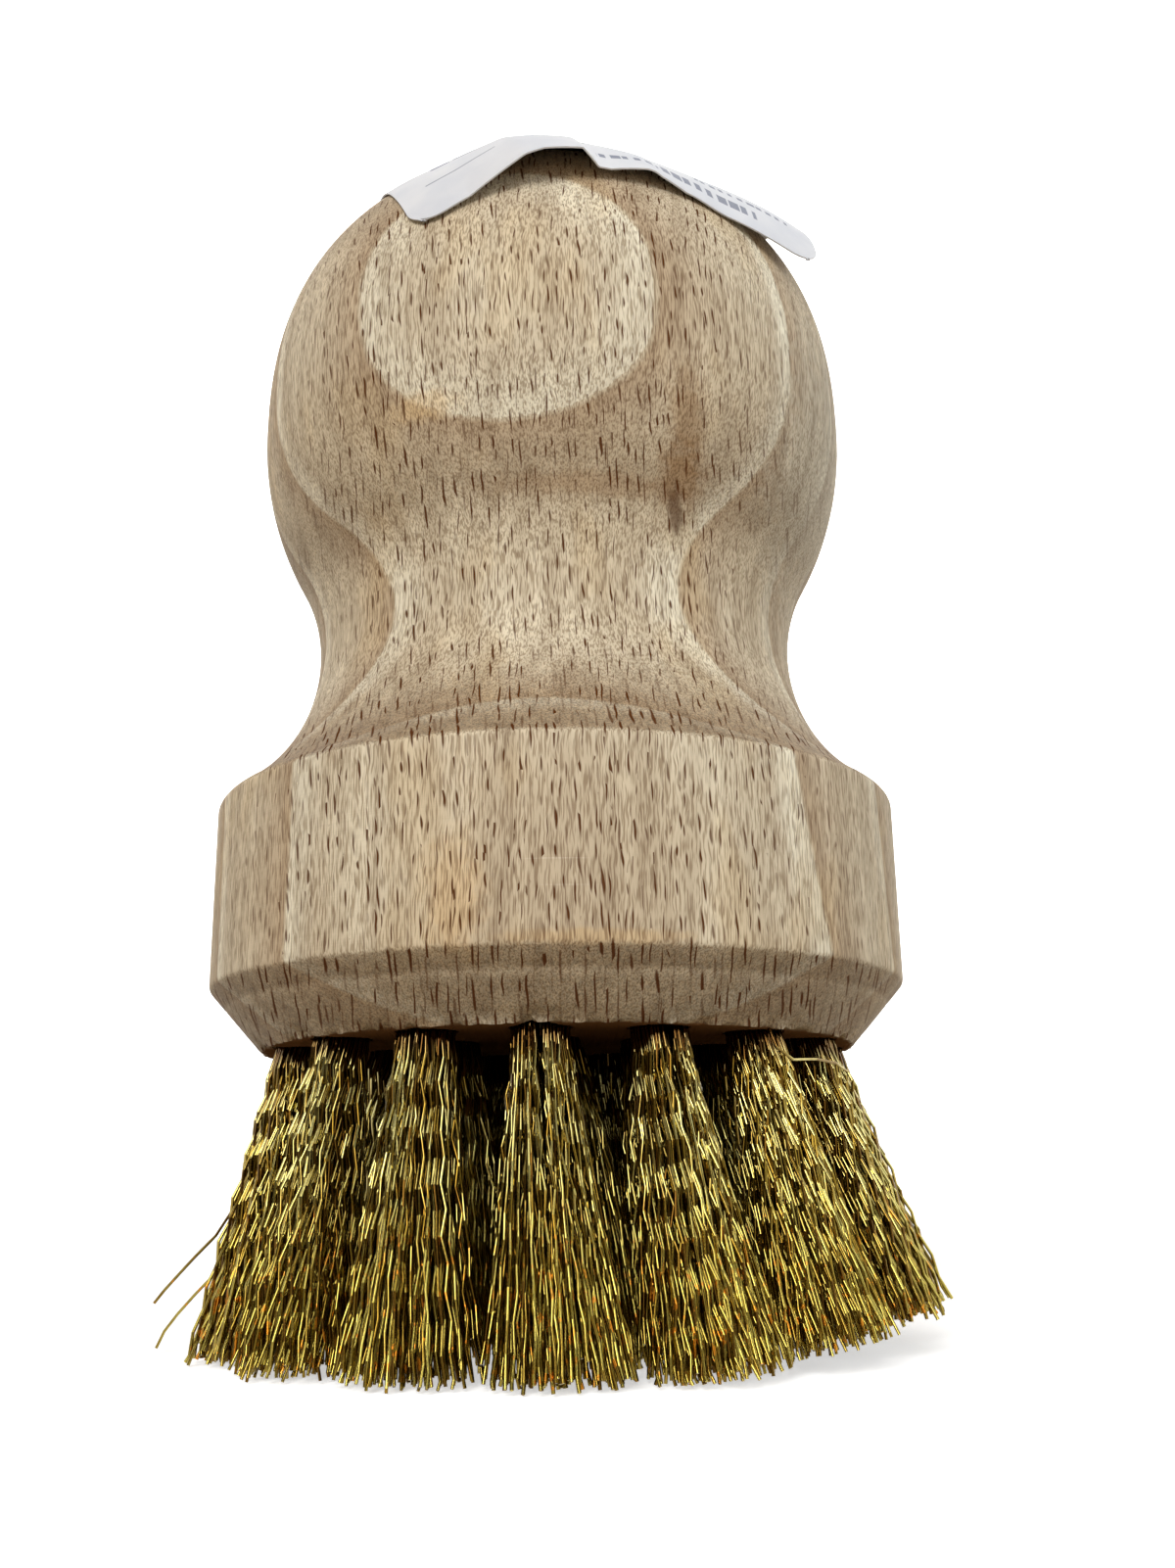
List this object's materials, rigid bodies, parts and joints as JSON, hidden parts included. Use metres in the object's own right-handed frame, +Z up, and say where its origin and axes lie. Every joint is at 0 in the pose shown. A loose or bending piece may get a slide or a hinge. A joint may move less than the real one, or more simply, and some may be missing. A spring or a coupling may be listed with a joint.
{
  "type": "grill brush",
  "caption": "Palm-held grill brush: a turned wooden knob handle with three rings of splayed, crimped brass wire tufts in its underside.",
  "frame": {"origin": "on the turned handle's axis, in the plane of the wire tips that the brush stands on", "axes": "+Z up along the handle's axis, from the wire tips to the knob; -Y is the front, towards the viewer of the picture; +X is to that viewer's right"},
  "size_m": [0.0644, 0.0644, 0.1076],
  "materials": {
    "beech": "matte",
    "brass_wire": "satin",
    "anchor_steel": "satin",
    "label_paper": "matte"
  },
  "bodies": {
    "root": {"handle": "beech", "tuft_outer_01": "brass_wire", "tuft_outer_02": "brass_wire", "tuft_outer_03": "brass_wire", "tuft_outer_04": "brass_wire", "tuft_outer_05": "brass_wire", "tuft_outer_06": "brass_wire", "tuft_outer_07": "brass_wire", "tuft_outer_08": "brass_wire", "tuft_outer_09": "brass_wire", "tuft_outer_10": "brass_wire", "tuft_outer_11": "brass_wire", "tuft_outer_12": "brass_wire", "tuft_outer_13": "brass_wire", "tuft_outer_14": "brass_wire", "tuft_outer_15": "brass_wire", "tuft_outer_16": "brass_wire", "tuft_middle_01": "brass_wire", "tuft_middle_02": "brass_wire", "tuft_middle_03": "brass_wire", "tuft_middle_04": "brass_wire", "tuft_middle_05": "brass_wire", "tuft_middle_06": "brass_wire", "tuft_middle_07": "brass_wire", "tuft_middle_08": "brass_wire", "tuft_middle_09": "brass_wire", "tuft_middle_10": "brass_wire", "tuft_inner_01": "brass_wire", "tuft_inner_02": "brass_wire", "tuft_inner_03": "brass_wire", "anchor_outer_01": "anchor_steel", "anchor_outer_02": "anchor_steel", "anchor_outer_03": "anchor_steel", "anchor_outer_04": "anchor_steel", "anchor_outer_05": "anchor_steel", "anchor_outer_06": "anchor_steel", "anchor_outer_07": "anchor_steel", "anchor_outer_08": "anchor_steel", "anchor_outer_09": "anchor_steel", "anchor_outer_10": "anchor_steel", "anchor_outer_11": "anchor_steel", "anchor_outer_12": "anchor_steel", "anchor_outer_13": "anchor_steel", "anchor_outer_14": "anchor_steel", "anchor_outer_15": "anchor_steel", "anchor_outer_16": "anchor_steel", "anchor_middle_01": "anchor_steel", "anchor_middle_02": "anchor_steel", "anchor_middle_03": "anchor_steel", "anchor_middle_04": "anchor_steel", "anchor_middle_05": "anchor_steel", "anchor_middle_06": "anchor_steel", "anchor_middle_07": "anchor_steel", "anchor_middle_08": "anchor_steel", "anchor_middle_09": "anchor_steel", "anchor_middle_10": "anchor_steel", "anchor_inner_01": "anchor_steel", "anchor_inner_02": "anchor_steel", "anchor_inner_03": "anchor_steel", "paper_label": "label_paper"}
  },
  "joints": []
}
